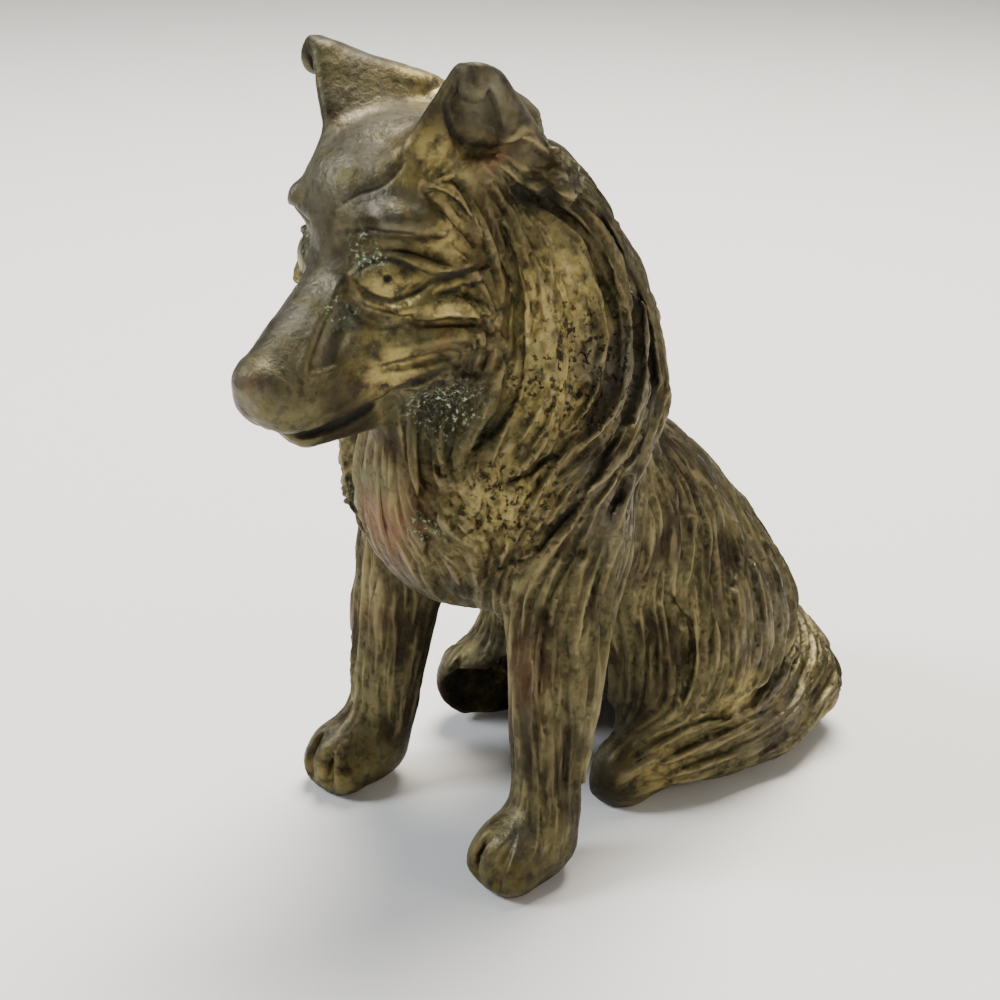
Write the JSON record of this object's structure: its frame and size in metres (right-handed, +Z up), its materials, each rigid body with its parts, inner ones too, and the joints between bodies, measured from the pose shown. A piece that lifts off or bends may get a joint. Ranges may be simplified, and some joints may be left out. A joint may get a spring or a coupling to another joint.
{
  "type": "dog figurine",
  "caption": "Small cast brass figurine of a seated collie with pricked ears, a deep mane and its tail laid round its left side, worn to a dark brown patina.",
  "frame": {"origin": "centre of the figure's footprint box on the surface that it stands on", "axes": "the dog faces -Y, its left side is +X, +Z is up"},
  "size_m": [0.0478, 0.0944, 0.1016],
  "materials": {
    "brass": "dark brown patina over cast brass, worn to bare metal on the high points, green verdigris in the crevices"
  },
  "bodies": {
    "root": {"collie_dog": "brass"}
  },
  "joints": []
}
